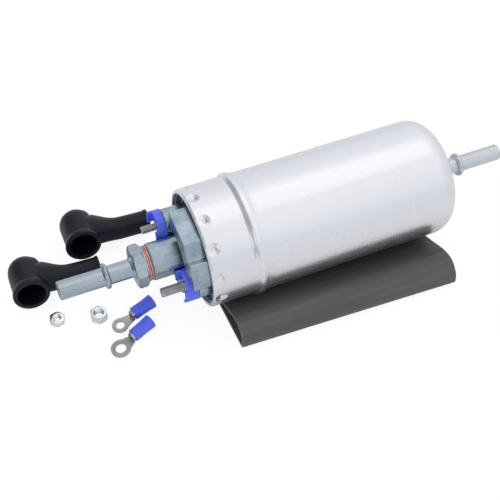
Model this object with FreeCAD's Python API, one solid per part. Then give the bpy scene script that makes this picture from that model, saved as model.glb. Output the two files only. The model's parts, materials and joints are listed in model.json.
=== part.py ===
import FreeCAD, Part
import math
import os

# In-line electric fuel pump with its fitting kit: a crimped metal can with a zinc end
# cover, a hex outlet fitting, two insulated terminals and an inlet stub, lying on its
# rubber isolating sleeve, with two rubber boots, two nuts and two ring terminals beside it.
#
# Millimetres. +X runs along the pump from the outlet to the inlet, +Z is up, and the
# origin is on the pump's axis in the middle of the plain length that a strap clamps.

V = FreeCAD.Vector
X_AXIS = V(1, 0, 0)
Y_AXIS = V(0, 1, 0)
Z_AXIS = V(0, 0, 1)

# Clearances
STATIC_GAP = 0.05
RUN_GAP = 0.03
SLIDE_GAP = 0.3
SEAT_GAP = 0.02
MESH_GAP = 0.06
PLATE_GAP = 0.1

# Can
CAN_R = 30.0
CAN_WALL = 1.5
CAN_BORE = CAN_R - CAN_WALL
RIM_X = -78.6
LIP_LENGTH = 1.3
LIP_R = CAN_BORE - 0.6
CAN_END_X = 55.0
CAN_CORNER = 11.0
BEAD_X = RIM_X + 25.0
BEAD_RISE = 1.3
BEAD_R = CAN_R + BEAD_RISE
STAKE_COUNT = 13
STAKE_X = RIM_X + 3.9
STAKE_START_DEG = 78.5
STAKE_DEPTH = 0.5
STAKE_DENT_R = 6.5
STAKE_PIT_DEPTH = 1.0
STAKE_PIT_R = 1.3

# Sleeve and floor
SLEEVE_WALL = 2.0
SLEEVE_LENGTH = 115.4
SLEEVE_HALF_WIDTH = 43.5
SLEEVE_LOOP_HEIGHT = 14.2
SLEEVE_TURN_DEG = -2.2
SLEEVE_CUT_DEG = 1.5
SLEEVE_CENTRE = (-12.8, -2.5)
FLOOR_Z = -(CAN_R + 2 * SLEEVE_WALL)

# End cover
SHOULDER_X = RIM_X + LIP_LENGTH
MOAT_X = SHOULDER_X + 3.3
RING_GROOVE_X = MOAT_X + 1.9
RING_GROOVE_WIDTH = 3.2
RING_GROOVE_R = CAN_BORE - 2.3
COVER_INNER_X = RING_GROOVE_X + RING_GROOVE_WIDTH + 2.9
COVER_R = CAN_BORE - PLATE_GAP
COVER_RIM_R = LIP_R - 0.7
BOSS_R = 9.4
BOSS_HEIGHT = 26.8
BOSS_END_X = MOAT_X - BOSS_HEIGHT
CROWN_HEIGHT = 13.3
CROWN_X = MOAT_X - CROWN_HEIGHT
CROWN_INNER_R = 15.5
CROWN_FOOT_Z = 3.0

# Terminals
TERMINAL_R = 16.7
TERMINAL_DEG = 18.3
INSULATOR_R = 8.1
INSULATOR_WALL = 1.4
CUP_DEPTH = 3.4
SPIGOT_R = 4.2
SPIGOT_END_X = COVER_INNER_X - 2.0
SHOULDER_STEP = 0.3
STUD_HEAD_LENGTH = 2.8
M4_R = 2.0
M4_POST_R = INSULATOR_R - 0.6
M4_FOOT_X = MOAT_X - 13.6
M4_RIM_X = M4_FOOT_X - 6.2
M4_TIP_X = M4_RIM_X - 5.3
M4_FLATS = 7.0
M5_R = 2.5
M5_POST_R = INSULATOR_R - 0.1
M5_FOOT_X = MOAT_X - 9.6
M5_RIM_X = M5_FOOT_X - 7.2
M5_TIP_X = M5_RIM_X - 9.8
M5_FLATS = 8.0

# Outlet fitting
WASHER_THICK = 2.1
WASHER_R = 8.8
THREAD_R = 6.0
THREAD_END_X = BOSS_END_X + 9.6
CRUSH_WASHER_X = BOSS_END_X - WASHER_THICK
HEX_FLATS = 19.0
HEX_LENGTH = 5.5
HEX_X = CRUSH_WASHER_X - 0.7
HEX_END_X = HEX_X - HEX_LENGTH
TUBE_R = 4.7
TUBE_BORE = 3.2
OUTLET_BEAD_X = HEX_END_X - 13.6
OUTLET_BEAD_RISE = 1.7
BEAD_ROOT = 0.35
OUTLET_TIP_X = OUTLET_BEAD_X - 23.7

# Check valve
CHAMBER_R = 5.2
SEAT_END_X = MOAT_X + 0.5
SEAT_X = SEAT_END_X - 2.4
SEAT_BORE = 2.7
PORT_R = 3.0
POPPET_R = 4.2
POPPET_THICK = 1.6

# Inlet stub
INLET_R = 4.15
INLET_BORE = 3.1
INLET_FLANGE_R = 7.0
INLET_BEAD_X = CAN_END_X + 13.5
INLET_BEAD_RISE = 1.9
INLET_TIP_X = INLET_BEAD_X + 24.1

# Motor, from the outlet end
SHAFT_R = 3.0
BUSH_R = 5.0
HOLDER_X = COVER_INNER_X
HOLDER_PLATE = 3.0
HOLDER_SKIRT = 1.6
HUB_R = 8.0
BUSH_OUTLET_X = HOLDER_X + 2.0
BUSH_OUTLET_LENGTH = 6.0
HUB_END_X = BUSH_OUTLET_X + BUSH_OUTLET_LENGTH + 0.5
COMMUTATOR_X = HUB_END_X + 1.5
COMMUTATOR_R = 9.0
RISER_R = 11.0
RISER_LENGTH = 1.5
BRUSH_X = COMMUTATOR_X + 2.0
BRUSH_WIDTH = 6.0
BRUSH_THICK = 5.0
BRUSH_LENGTH = 8.8
BRUSH_FACE_Y = COMMUTATOR_R + 0.15
GUIDE_WALL = 1.5
GUIDE_Y = COMMUTATOR_R + 1.2
GUIDE_END_Y = CAN_BORE - 2.5
CAP_THICK = 0.8
LEAD_R = 0.7
LEAD_RUN = 5.5
COMMUTATOR_END_X = BRUSH_X + BRUSH_WIDTH + 2.5
HOLDER_END_X = COMMUTATOR_END_X + RISER_LENGTH
CORE_X = COMMUTATOR_END_X + 15.5
CORE_LENGTH = 34.0
CORE_END_X = CORE_X + CORE_LENGTH
FLUX_WALL = 2.4
MAGNET_THICK = 7.2
MAGNET_OUTER_R = CAN_BORE - FLUX_WALL - 2 * STATIC_GAP
MAGNET_INNER_R = MAGNET_OUTER_R - MAGNET_THICK
MAGNET_OVERHANG = 6.0
MAGNET_X = CORE_X - MAGNET_OVERHANG
MAGNET_END_X = CORE_END_X + MAGNET_OVERHANG
MAGNET_HALF_DEG = 59.0
CORE_R = MAGNET_INNER_R - 1.0
SLOT_COUNT = 8
SLOT_OUTER_R = CORE_R - 2.4
SLOT_INNER_R = 8.6
WINDING_REACH = 8.0
WINDING_R = SLOT_OUTER_R + 0.4
WINDING_INNER_R = 7.4

# Pump section, from the motor to the inlet
PLATE_X = CORE_END_X + WINDING_REACH + 1.2
BUSH_PUMP_X = PLATE_X + 0.8
BUSH_LENGTH = 7.0
RING_X = PLATE_X + 8.8
GEAR_WIDTH = 8.0
INTAKE_X = RING_X + GEAR_WIDTH
INTAKE_END_X = INTAKE_X + 8.0
SKIRT_REACH = 4.6
SKIRT_END_X = CAN_END_X - CAN_CORNER + SKIRT_REACH
STRAINER_X = SKIRT_END_X - 2.5
STRAINER_R = CAN_BORE - 2.3
STRAINER_THICK = 0.8
SKIRT_WALL = 3.5
SKIRT_INNER_R = CAN_BORE - SKIRT_WALL
SHAFT_END_X = INTAKE_X + 2.4
INNER_TEETH = 6
OUTER_LOBES = INNER_TEETH + 1
SCREW_R = 1.45
SCREW_HEAD_R = 2.75
SCREW_HEAD_HEIGHT = 2.4
SCREW_CIRCLE = SKIRT_INNER_R - SCREW_HEAD_R - 0.25
RING_WALL = 3.05
OUTER_GEAR_R = SCREW_CIRCLE - SCREW_R - RING_WALL
GEAR_RIM = 5.5
LOBE_CIRCLE = OUTER_GEAR_R - GEAR_RIM
LOBE_R = LOBE_CIRCLE * 4 / 15
OFFSET = LOBE_CIRCLE * 13 / 120
PORT_INNER_R = LOBE_CIRCLE * 0.65
PORT_OUTER_R = LOBE_CIRCLE - 1.0
RELIEF_Z = 9.5
RELIEF_SEAT_X = INTAKE_X + 2.8
RELIEF_HOLE_R = 1.4
RELIEF_BORE_R = 2.9
RELIEF_BODY_R = 4.6
RELIEF_PLUG_X = INTAKE_X + 13.0
RELIEF_END_X = RELIEF_PLUG_X + 3.0
BALL_R = 2.5

# Loose kit, each piece with its place on the floor
NUT_M4_HEIGHT = 3.2
NUT_M4_PLACE = (-149.2, 7.9)
NUT_M4_TURN_DEG = 12.0
NUT_M5_HEIGHT = 4.0
NUT_M5_PLACE = (-129.0, 2.3)
NUT_M5_TURN_DEG = 20.0
RING_M4_EYE_R = 4.2
RING_M4_PLACE = (-120.9, -7.0)
RING_M4_TURN_DEG = 17.0
RING_M5_EYE_R = 5.0
RING_M5_PLACE = (-124.9, -20.2)
RING_M5_TURN_DEG = 22.7
RING_TILT_DEG = 4.5
RING_THICK = 0.8
BARREL_R = 3.35
BARREL_WALL = 1.0
BARREL_START = 8.5
BARREL_END = 20.2
BOOT_M4_PLACE = (-124.0, 48.9)
BOOT_M5_PLACE = (-157.1, 28.6)
BOOT_TURN_DEG = -2.0
BOOT_PITCH_DEG = 8.6
BOOT_DOME_Y = 17.0
BOOT_ARM_Y = 9.2
BOOT_ARM_DROP = 2.6
BOOT_HEAD_R = 9.0
BOOT_MOUTH_R = 6.9
BOOT_ARM_R = 5.9
BOOT_ARM_BORE = 3.6
BOOT_ARM_LENGTH = 37.2
BOOT_ROOT_END = 20.0


def polar(radius, degrees):
    """Y and Z of a point at an angle from +Y towards +Z."""
    turn = math.radians(degrees)
    return radius * math.cos(turn), radius * math.sin(turn)


def cylinder(radius, x0, x1, y=0.0, z=0.0):
    """A solid bar along X."""
    return Part.makeCylinder(radius, x1 - x0, V(x0, y, z), X_AXIS)


def tube(outer, inner, x0, x1, y=0.0, z=0.0):
    """A ring along X."""
    return cylinder(outer, x0, x1, y, z).cut(cylinder(inner, x0 - 1, x1 + 1, y, z))


def box(x0, x1, y0, y1, z0, z1):
    """A block between six planes."""
    return Part.makeBox(x1 - x0, y1 - y0, z1 - z0, V(x0, y0, z0))


def outline(points):
    """A closed wire; a point given as (middle, end) is reached by an arc."""
    edges = []
    start = points[0]
    for item in points[1:]:
        if isinstance(item[0], tuple):
            middle, end = item
            edges.append(Part.Arc(V(*start), V(*middle), V(*end)).toShape())
        else:
            end = item
            edges.append(Part.LineSegment(V(*start), V(*end)).toShape())
        start = end
    if start != points[0]:
        edges.append(Part.LineSegment(V(*start), V(*points[0])).toShape())
    return Part.Wire(edges)


def lathe(points):
    """A solid of revolution about X from (x, radius) points."""
    flat = []
    for item in points:
        if isinstance(item[0], tuple):
            flat.append(tuple((p[0], p[1], 0.0) for p in item))
        else:
            flat.append((item[0], item[1], 0.0))
    return Part.Face(outline(flat)).revolve(V(0, 0, 0), X_AXIS, 360)


def prism(points, x0, x1):
    """A solid along X from (y, z) points."""
    wire = Part.makePolygon([V(x0, y, z) for y, z in points] + [V(x0, *points[0])])
    return Part.Face(wire).extrude(V(x1 - x0, 0, 0))


def sector(outer, inner, start_deg, end_deg, x0, x1, y=0.0, z=0.0):
    """Part of a ring along X between two angles."""
    def place(radius, degrees):
        dy, dz = polar(radius, degrees)
        return (x0, y + dy, z + dz)
    mid = (start_deg + end_deg) / 2
    wire = outline([
        place(inner, start_deg),
        place(outer, start_deg),
        (place(outer, mid), place(outer, end_deg)),
        place(inner, end_deg),
        (place(inner, mid), place(inner, start_deg)),
    ])
    return Part.Face(wire).extrude(V(x1 - x0, 0, 0))


def hexagon(flats, x0, x1, y=0.0, z=0.0, corner_deg=0.0):
    """A six-sided bar along X."""
    radius = flats / math.sqrt(3)
    points = []
    for k in range(6):
        dy, dz = polar(radius, corner_deg + 60 * k)
        points.append((y + dy, z + dz))
    return prism(points, x0, x1)


def torus(ring_r, wire_r, x):
    """A round ring about the pump's axis."""
    return Part.makeTorus(ring_r, wire_r, V(x, 0, 0), X_AXIS)


def turned(shape, degrees, axis=X_AXIS, centre=V(0, 0, 0)):
    """A copy of a shape turned about an axis."""
    copy = shape.copy()
    copy.rotate(centre, axis, degrees)
    return copy


def lowest(shape):
    """Height of a shape's lowest point."""
    return min(point.z for point in shape.tessellate(0.01)[0])


def coil(mean_r, wire_r, turns, start, length, direction):
    """A round-wire compression spring that starts at a point and runs along a direction."""
    pitch = length / turns
    helix = Part.makeHelix(pitch, length, mean_r)
    heading = V(0, 1, pitch / (2 * math.pi * mean_r))
    section = Part.Wire(Part.makeCircle(wire_r, V(mean_r, 0, 0), heading))
    spring = Part.Wire(helix).makePipeShell([section], True, True)
    spring.Placement = FreeCAD.Placement(start, FreeCAD.Rotation(Z_AXIS, direction))
    return spring


def bent_wire(points, wire_r, bend_r):
    """A round lead through a list of points, with an arc at each corner."""
    vectors = [V(*p) for p in points]
    edges = []
    start = vectors[0]
    for before, corner, after in zip(vectors, vectors[1:], vectors[2:]):
        into = (corner - before).normalize()
        out = (after - corner).normalize()
        turn = into.getAngle(out)
        trim = bend_r * math.tan(turn / 2)
        first = corner - into * trim
        last = corner + out * trim
        inward = (out - into).normalize()
        middle = corner + inward * (bend_r / math.cos(turn / 2) - bend_r)
        edges.append(Part.LineSegment(start, first).toShape())
        edges.append(Part.Arc(first, middle, last).toShape())
        start = last
    edges.append(Part.LineSegment(start, vectors[-1]).toShape())
    heading = (vectors[1] - vectors[0]).normalize()
    section = Part.Wire(Part.makeCircle(wire_r, vectors[0], heading))
    return Part.Wire(edges).makePipeShell([section], True, False)


# Can and its end

def housing_shell():
    """Deep-drawn can: crimped lip, row of stakes, rolled bead and a rounded inlet end."""
    straight = CAN_END_X - CAN_CORNER
    flat_r = CAN_R - CAN_CORNER
    inner_corner = CAN_CORNER - CAN_WALL
    lean = math.sqrt(0.5)
    outer_mid = (straight + CAN_CORNER * lean, flat_r + CAN_CORNER * lean)
    inner_mid = (straight + inner_corner * lean, flat_r + inner_corner * lean)
    rise = BEAD_RISE
    shell = lathe([
        (RIM_X, LIP_R),
        (RIM_X, CAN_R - 0.9),
        ((RIM_X + 0.26, CAN_R - 0.26), (RIM_X + 0.9, CAN_R)),
        (BEAD_X - 2.4, CAN_R),
        (BEAD_X - 1.2, CAN_R + 0.8 * rise),
        ((BEAD_X, BEAD_R), (BEAD_X + 1.4, CAN_R + 0.85 * rise)),
        (BEAD_X + 5.6, CAN_R),
        (straight, CAN_R),
        (outer_mid, (CAN_END_X, flat_r)),
        (CAN_END_X, INLET_R + STATIC_GAP),
        (CAN_END_X - CAN_WALL, INLET_R + STATIC_GAP),
        (CAN_END_X - CAN_WALL, flat_r),
        (inner_mid, (straight, CAN_BORE)),
        (BEAD_X + 5.2, CAN_BORE),
        (BEAD_X + 1.0, CAN_BORE + 0.8 * rise),
        (BEAD_X - 0.6, CAN_BORE + 0.8 * rise),
        (BEAD_X - 2.0, CAN_BORE),
        (SHOULDER_X, CAN_BORE),
        (SHOULDER_X, LIP_R),
    ])
    dent = Part.makeSphere(STAKE_DENT_R, V(STAKE_X, CAN_R + STAKE_DENT_R - STAKE_DEPTH, 0))
    pit = Part.makeSphere(STAKE_PIT_R, V(STAKE_X + 0.6, CAN_R + STAKE_PIT_R - STAKE_PIT_DEPTH, 0))
    for k in range(STAKE_COUNT):
        angle = STAKE_START_DEG + k * 360.0 / STAKE_COUNT
        shell = shell.cut(turned(dent, angle)).cut(turned(pit, angle))
    return shell


def bead_points(x, tube_r, rise, way):
    """Lathe points over a hose bead with a hollow root on both sides, walked towards way (+1 or -1)."""
    half = way * (rise - BEAD_ROOT)
    root = way * BEAD_ROOT
    low = BEAD_ROOT * (1 - math.sqrt(0.5))
    root_r = tube_r + BEAD_ROOT
    return [
        (x - half - root, tube_r),
        ((x - half - way * low, tube_r + low), (x - half, root_r)),
        ((x, tube_r + rise), (x + half, root_r)),
        ((x + half + way * low, tube_r + low), (x + half + root, tube_r)),
    ]


def inlet_tube():
    """Inlet stub with its inner flange, retaining bead and rounded lip."""
    flange_x = CAN_END_X - CAN_WALL
    return lathe([
        (flange_x - 1.3, INLET_BORE),
        (flange_x - 1.3, INLET_FLANGE_R),
        (flange_x, INLET_FLANGE_R),
        (flange_x, INLET_R),
        *bead_points(INLET_BEAD_X, INLET_R, INLET_BEAD_RISE, 1),
        (INLET_TIP_X - 0.6, INLET_R),
        ((INLET_TIP_X - 0.18, INLET_R - 0.18), (INLET_TIP_X, INLET_R - 0.6)),
        (INLET_TIP_X, INLET_BORE),
    ])


# End cover, outlet and terminals

def terminal_centre(side):
    """Y and Z of a terminal: +1 the far M4 stud, -1 the near M5 stud."""
    y, z = polar(TERMINAL_R, TERMINAL_DEG)
    return side * y, side * z


def crown_rib():
    """The flat-sided rib on one side of the boss, its corners set in from the cover's rim."""
    corners = [
        (1.756, 75.2),
        (2.303, 95.07),
        (0.032, 121.76),
        (2.848, 140.16),
        (-0.107, 144.39),
        (-0.093, 162.3),
        (0.034, 173.66),
    ]
    points = [polar(COVER_RIM_R - inset, angle) for inset, angle in corners]
    end_y = -math.sqrt(CROWN_INNER_R ** 2 - CROWN_FOOT_Z ** 2)
    foot = V(CROWN_X, end_y, CROWN_FOOT_Z)
    start = polar(CROWN_INNER_R, 71.0)
    middle = polar(CROWN_INNER_R, 120.0)
    path = [(CROWN_X, y, z) for y, z in points]
    edges = [Part.LineSegment(V(*a), V(*b)).toShape() for a, b in zip(path, path[1:])]
    edges.append(Part.LineSegment(V(*path[-1]), foot).toShape())
    edges.append(Part.Arc(foot, V(CROWN_X, *middle), V(CROWN_X, *start)).toShape())
    edges.append(Part.LineSegment(V(CROWN_X, *start), V(*path[0])).toShape())
    return Part.Face(Part.Wire(edges)).extrude(V(MOAT_X + 0.5 - CROWN_X, 0, 0))


def outlet_cover():
    """Zinc end cover: plug with its ring groove, moat, boss, two ribs and two terminal posts."""
    recess_r = 13.0
    recess = 3.0
    cover = lathe([
        (MOAT_X, 0.0),
        (MOAT_X, COVER_RIM_R),
        (SHOULDER_X, COVER_RIM_R),
        (SHOULDER_X, COVER_R),
        (COVER_INNER_X, COVER_R),
        (COVER_INNER_X, recess_r),
        (COVER_INNER_X - recess, recess_r),
        (COVER_INNER_X - recess, 0.0),
    ])
    boss = lathe([
        (BOSS_END_X, 0.0),
        (BOSS_END_X, BOSS_R - 0.5),
        (BOSS_END_X + 0.5, BOSS_R),
        (MOAT_X + 0.5, BOSS_R),
        (MOAT_X + 0.5, 0.0),
    ])
    flat = box(BOSS_END_X - 1, MOAT_X, TERMINAL_R - INSULATOR_R - STATIC_GAP, 12.0, -BOSS_R, BOSS_R)
    boss = boss.cut(turned(flat, TERMINAL_DEG)).cut(turned(flat, TERMINAL_DEG + 180))
    cover = cover.fuse(boss)
    rib = crown_rib()
    cover = cover.fuse(rib).fuse(turned(rib, 180))
    for side, post_r, foot_x in ((1, M4_POST_R, M4_FOOT_X), (-1, M5_POST_R, M5_FOOT_X)):
        y, z = terminal_centre(side)
        cover = cover.fuse(cylinder(post_r, foot_x, COVER_INNER_X, y, z))
    cover = cover.cut(cylinder(THREAD_R + STATIC_GAP, BOSS_END_X - 1, THREAD_END_X + 0.2))
    cover = cover.cut(cylinder(CHAMBER_R, THREAD_END_X, SEAT_END_X))
    cover = cover.cut(cylinder(PORT_R, SEAT_END_X - 1, COVER_INNER_X + 1))
    for side in (1, -1):
        y, z = terminal_centre(side)
        cover = cover.cut(cylinder(SPIGOT_R, M4_FOOT_X - 1, COVER_INNER_X + 1, y, z))
    groove = tube(COVER_R + 1, RING_GROOVE_R, RING_GROOVE_X, RING_GROOVE_X + RING_GROOVE_WIDTH)
    return cover.cut(groove).removeSplitter()


def cover_ring():
    """Rubber ring in the cover's groove."""
    room = CAN_BORE - RING_GROOVE_R
    return torus(RING_GROOVE_R + room / 2, room / 2 - SEAT_GAP, RING_GROOVE_X + RING_GROOVE_WIDTH / 2)


def crush_washer():
    """Folded copper sealing ring with its seam showing as a groove."""
    left = CRUSH_WASHER_X
    right = BOSS_END_X
    middle = (left + right) / 2
    return lathe([
        (left, THREAD_R + STATIC_GAP),
        (left, WASHER_R - 0.3),
        (left + 0.3, WASHER_R),
        (middle - 0.25, WASHER_R),
        (middle, WASHER_R - 0.9),
        (middle + 0.25, WASHER_R),
        (right - 0.3, WASHER_R),
        (right, WASHER_R - 0.3),
        (right, THREAD_R + STATIC_GAP),
    ])


def outlet_fitting():
    """Hex outlet fitting: threaded end, washer face, chamfered hex and beaded tube, one turned piece."""
    corner_r = HEX_FLATS / math.sqrt(3)
    face_r = WASHER_R + 0.3
    neck = HEX_END_X - 1.4
    body = lathe([
        (THREAD_END_X, 0.0),
        (THREAD_END_X, THREAD_R - 0.6),
        (THREAD_END_X - 0.6, THREAD_R),
        (CRUSH_WASHER_X, THREAD_R),
        (CRUSH_WASHER_X, face_r),
        (HEX_END_X, face_r),
        (HEX_END_X, TUBE_R + 1.7),
        (neck, TUBE_R),
        *bead_points(OUTLET_BEAD_X, TUBE_R, OUTLET_BEAD_RISE, -1),
        (OUTLET_TIP_X + 0.8, TUBE_R),
        ((OUTLET_TIP_X + 0.24, TUBE_R - 0.24), (OUTLET_TIP_X, TUBE_R - 0.8)),
        (OUTLET_TIP_X, 0.0),
    ])
    chamfers = lathe([
        (HEX_END_X, 0.0),
        (HEX_END_X, corner_r - 1.4),
        (HEX_END_X + 0.8, corner_r),
        (HEX_X - 0.8, corner_r),
        (HEX_X, corner_r - 1.4),
        (HEX_X, 0.0),
    ])
    hexed = hexagon(HEX_FLATS, HEX_END_X, HEX_X, corner_deg=42.0).common(chamfers)
    bore = cylinder(TUBE_BORE, OUTLET_TIP_X - 1, THREAD_END_X + 1)
    return body.fuse(hexed).cut(bore).removeSplitter()


def insulator(side, foot_x, rim_x, stud_r):
    """Blue insulating cup with a spigot through the cover and an open side for the wire."""
    y, z = terminal_centre(side)
    floor_x = rim_x + CUP_DEPTH
    body = cylinder(INSULATOR_R, floor_x, foot_x, y, z)
    body = body.fuse(cylinder(SPIGOT_R, foot_x - 1, SPIGOT_END_X, y, z))
    inner = INSULATOR_R - INSULATOR_WALL
    low_rim_x = rim_x + 2.0
    for start_deg, end_deg, top_x in ((-25, 45, rim_x), (45, 150, low_rim_x), (150, 235, rim_x)):
        body = body.fuse(sector(INSULATOR_R, inner, start_deg, end_deg, top_x, floor_x + 0.5, y, z))
    hole_r = shank_r(stud_r) + STATIC_GAP
    return body.cut(cylinder(hole_r, rim_x, SPIGOT_END_X + 1, y, z)).removeSplitter()


def shank_r(stud_r):
    """A stud's shank is thicker than its thread, so that it has a shoulder at the cup's floor."""
    return stud_r + SHOULDER_STEP


def terminal_stud(side, stud_r, tip_x, rim_x, head_flats):
    """Terminal stud: thread in the cup, shouldered shank through the insulator, hex head inside the can."""
    y, z = terminal_centre(side)
    chamfer = 0.6
    cup_floor_x = rim_x + CUP_DEPTH
    head_x = COVER_INNER_X + STATIC_GAP
    thread = cylinder(stud_r, tip_x + chamfer, cup_floor_x + 1, y, z)
    point = Part.makeCone(stud_r - chamfer, stud_r, chamfer, V(tip_x, y, z), X_AXIS)
    shank = cylinder(shank_r(stud_r), cup_floor_x, head_x + 1, y, z)
    head = hexagon(head_flats, head_x, COVER_INNER_X + STUD_HEAD_LENGTH, y, z)
    return thread.fuse(point).fuse(shank).fuse(head).removeSplitter()


def stud_seals():
    """Rubber washer under each stud's head."""
    rings = []
    for side, stud_r in ((1, M4_R), (-1, M5_R)):
        y, z = terminal_centre(side)
        hole_r = shank_r(stud_r) + STATIC_GAP
        rings.append(tube(SPIGOT_R - STATIC_GAP, hole_r, SPIGOT_END_X, COVER_INNER_X, y, z))
    return Part.makeCompound(rings)


# Check valve

def check_valve_seat():
    """Seat ring pressed into the cover's chamber."""
    return tube(CHAMBER_R, SEAT_BORE, SEAT_X, SEAT_END_X)


def check_valve_poppet():
    """Poppet disc with a cross-shaped guide tail and a spring pilot."""
    face = SEAT_X - SEAT_GAP
    back = face - POPPET_THICK
    disc = cylinder(POPPET_R, back, face)
    pilot = cylinder(1.2, back - 3.0, back + 0.5)
    tail_x = face - 0.5
    tail_end = face + 4.4
    tail_r = SEAT_BORE - 0.1
    half = 0.6
    bars = box(tail_x, tail_end, -tail_r, tail_r, -half, half)
    bars = bars.fuse(box(tail_x, tail_end, -half, half, -tail_r, tail_r))
    tail = bars.common(cylinder(tail_r, tail_x, tail_end))
    return disc.fuse(pilot).fuse(tail).removeSplitter()


def check_valve_spring():
    """Coil between the fitting's inner end and the poppet."""
    wire = 0.25
    start = THREAD_END_X + wire + 0.2
    end = SEAT_X - SEAT_GAP - POPPET_THICK - wire - 0.1
    mean = POPPET_R - 0.35
    return coil(mean, wire, 6, V(start, 0, 0), end - start, X_AXIS)


# Brush gear

def guide_boxes():
    """The two radial brush guides, solid."""
    half = BRUSH_THICK / 2 + SLIDE_GAP + GUIDE_WALL + 0.3
    end_x = BRUSH_X + BRUSH_WIDTH + SLIDE_GAP + GUIDE_WALL
    near = box(HOLDER_X + HOLDER_PLATE - 1, end_x, GUIDE_Y, GUIDE_END_Y, -half, half)
    return near.fuse(turned(near, 180))


def brush_holder():
    """Moulded end frame: plate, bearing hub, two brush guides and a skirt in two halves."""
    plate_end = HOLDER_X + HOLDER_PLATE
    outer_r = CAN_BORE - SLIDE_GAP
    skirt = tube(outer_r, outer_r - HOLDER_SKIRT, plate_end - 0.5, HOLDER_END_X)
    side_gap = 9.5
    skirt = skirt.cut(box(plate_end, HOLDER_END_X + 1, -CAN_R, CAN_R, -side_gap, side_gap))
    holder = cylinder(outer_r, HOLDER_X, plate_end).fuse(skirt)
    holder = holder.fuse(cylinder(HUB_R, plate_end - 0.5, HUB_END_X)).fuse(guide_boxes())
    half_z = BRUSH_THICK / 2 + SLIDE_GAP
    slot_x = BRUSH_X - SLIDE_GAP
    slot_end_x = BRUSH_X + BRUSH_WIDTH + SLIDE_GAP
    slot = box(slot_x, slot_end_x, GUIDE_Y - 1, GUIDE_END_Y + 1, -half_z, half_z)
    holder = holder.cut(slot).cut(turned(slot, 180))
    holder = holder.cut(cylinder(BUSH_R, BUSH_OUTLET_X, HUB_END_X + 0.5))
    holder = holder.cut(cylinder(1.5, HOLDER_X - 1, BUSH_OUTLET_X + 1))
    for side in (1, -1):
        y, z = terminal_centre(side)
        holder = holder.cut(cylinder(5.3, HOLDER_X - 1, plate_end + 0.1, y, z))
    for angle in (60, 90, 120, 240, 270, 300):
        y, z = polar(HUB_R + 2.6, angle)
        holder = holder.cut(cylinder(1.6, HOLDER_X - 1, plate_end + 1, y, z))
    return holder.removeSplitter()


def brush():
    """Carbon brush on the +Y side, standing just off the commutator."""
    half = BRUSH_THICK / 2
    return box(BRUSH_X, BRUSH_X + BRUSH_WIDTH, BRUSH_FACE_Y, BRUSH_FACE_Y + BRUSH_LENGTH, -half, half)


def brush_spring():
    """Coil that pushes the +Y brush inwards."""
    wire = 0.22
    start = BRUSH_FACE_Y + BRUSH_LENGTH + wire + 0.1
    end = GUIDE_END_Y - wire - 0.1
    return coil(1.8, wire, 5, V(BRUSH_X + BRUSH_WIDTH / 2, start, 0), end - start, Y_AXIS)


def brush_cap():
    """Brass plate that closes the +Y guide, with a tab for the lead."""
    outer_y = GUIDE_END_Y + CAP_THICK
    brush_end = BRUSH_X + BRUSH_WIDTH
    plate = box(BRUSH_X - 1, brush_end + 1, GUIDE_END_Y, outer_y, -4.4, 4.4)
    tab = box(BRUSH_X + 1.5, brush_end - 1, GUIDE_END_Y, outer_y, 4.0, 8.2)
    return plate.fuse(tab).removeSplitter()


def brush_lead():
    """Copper lead from the M4 stud's head to the +Y cap."""
    y, z = terminal_centre(1)
    z = z + 1.2
    middle_x = BRUSH_X + BRUSH_WIDTH / 2
    points = [
        (COVER_INNER_X + STUD_HEAD_LENGTH, y, z),
        (BRUSH_X - 3.0, y, z),
        (middle_x, GUIDE_END_Y - LEAD_RUN, z),
        (middle_x, GUIDE_END_Y, z),
    ]
    return bent_wire(points, LEAD_R, 2.0)


def bush(x0, x1):
    """Plain bearing bush."""
    return tube(BUSH_R, SHAFT_R + RUN_GAP, x0, x1)


# Armature

def armature_shaft():
    """Ground steel shaft with small end chamfers."""
    left = BUSH_OUTLET_X + 0.5
    right = SHAFT_END_X
    return lathe([
        (left, 0.0),
        (left, SHAFT_R - 0.4),
        (left + 0.4, SHAFT_R),
        (right - 0.4, SHAFT_R),
        (right, SHAFT_R - 0.4),
        (right, 0.0),
    ])


def thrust_washer():
    """Washer that takes the armature's end float."""
    return tube(BUSH_R + 0.5, SHAFT_R + STATIC_GAP, HUB_END_X + 0.3, COMMUTATOR_X - 0.4)


def commutator():
    """Commutator barrel with its slots and riser."""
    barrel = tube(COMMUTATOR_R, SHAFT_R, COMMUTATOR_X, COMMUTATOR_END_X)
    riser = tube(RISER_R, SHAFT_R, COMMUTATOR_END_X, COMMUTATOR_END_X + RISER_LENGTH)
    body = barrel.fuse(riser)
    for k in range(SLOT_COUNT):
        slot = box(COMMUTATOR_X - 1, COMMUTATOR_END_X + 2, COMMUTATOR_R - 1.2, RISER_R + 1, -0.3, 0.3)
        body = body.cut(turned(slot, (k + 0.5) * 360.0 / SLOT_COUNT))
    return body.removeSplitter()


def slot_pocket(margin, x0, x1):
    """Wedge-shaped winding pocket at +Y, shrunk by a margin."""
    inner_y = SLOT_INNER_R + margin
    outer_y = SLOT_OUTER_R - margin
    inner_half = 1.6 - margin
    outer_half = 4.2 - margin
    corners = [
        (inner_y, -inner_half),
        (outer_y, -outer_half),
        (outer_y, outer_half),
        (inner_y, inner_half),
    ]
    return prism(corners, x0, x1)


def armature_core():
    """Slotted stack of laminations."""
    core = tube(CORE_R, SHAFT_R, CORE_X, CORE_END_X)
    for k in range(SLOT_COUNT):
        angle = k * 360.0 / SLOT_COUNT
        core = core.cut(turned(slot_pocket(0.0, CORE_X - 1, CORE_END_X + 1), angle))
        mouth = box(CORE_X - 1, CORE_END_X + 1, SLOT_OUTER_R - 0.4, CORE_R + 1, -1.1, 1.1)
        core = core.cut(turned(mouth, angle))
    return core


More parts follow.
